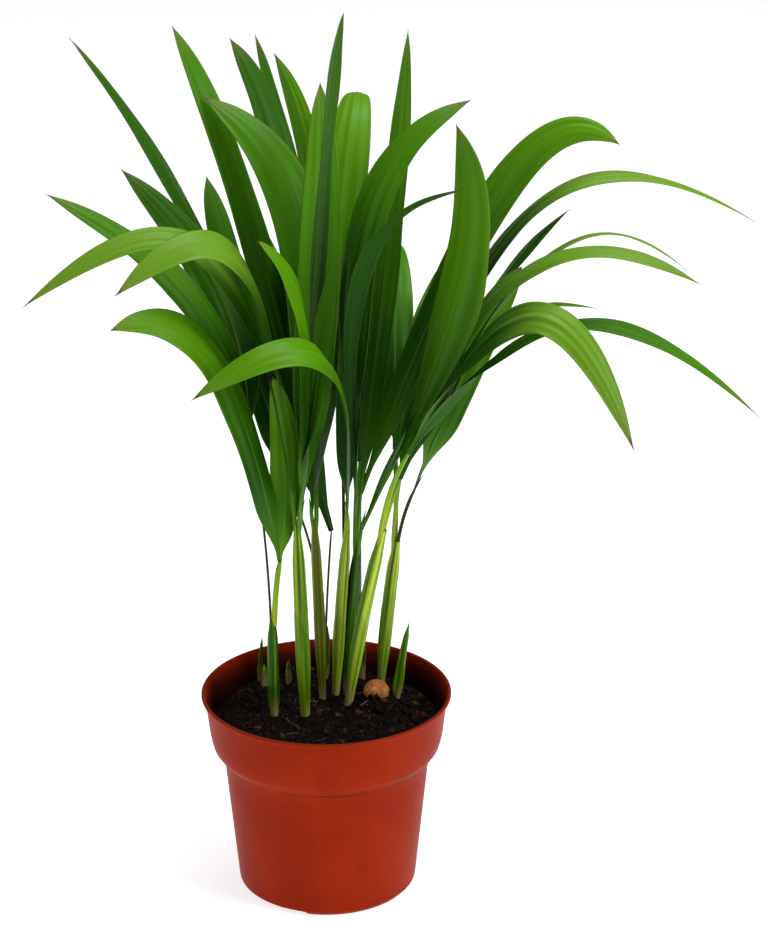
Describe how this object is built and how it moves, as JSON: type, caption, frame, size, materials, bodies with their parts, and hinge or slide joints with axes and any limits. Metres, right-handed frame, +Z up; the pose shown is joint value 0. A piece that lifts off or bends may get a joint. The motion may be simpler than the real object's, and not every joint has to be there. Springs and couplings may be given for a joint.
{
  "type": "potted areca palm",
  "caption": "Young clustering palm in a filled round nursery pot: slender stems rise from the soil, and stalks on them carry arching leaves forked into long pointed lobes.",
  "frame": {"origin": "centre of the pot's underside, in the level plane that the pot stands on", "axes": "+Z up the plant, -Y towards the picture's viewer, +X to the right in the picture"},
  "size_m": [0.3354, 0.2216, 0.4291],
  "materials": {
    "pot": "satin terracotta-coloured plastic",
    "soil": "moist dark peat with fibres and crumbs",
    "seed": "dry fibrous husk",
    "stem": "smooth green leaf sheath, satin",
    "frond": "glossy green leaf with long ribs"
  },
  "bodies": {
    "root": {"pot": "pot", "soil": "soil", "seed": "seed", "stem_left": "stem", "stem_front": "stem", "stem_middle": "stem", "stem_back": "stem", "stem_pair_left": "stem", "stem_pair_right": "stem", "stem_right": "stem", "stem_far_right": "stem", "stem_back_right": "stem", "shoot_spear": "stem", "shoot_left": "stem", "shoot_left_inner": "stem", "shoot_left_edge": "stem", "frond_left_low": "frond", "frond_left": "frond", "frond_left_front": "frond", "frond_front_bright": "frond", "frond_front_low": "frond", "frond_crown_top": "frond", "frond_crown_wide": "frond", "frond_crown_left": "frond", "frond_crown_back": "frond", "frond_left_tall": "frond", "frond_crown_right": "frond", "frond_front_high": "frond", "frond_right_front": "frond", "frond_right_low": "frond", "frond_right_middle": "frond", "frond_right_broad": "frond", "frond_right_far": "frond", "frond_back_right": "frond", "frond_back": "frond", "frond_back_left": "frond"}
  },
  "joints": []
}
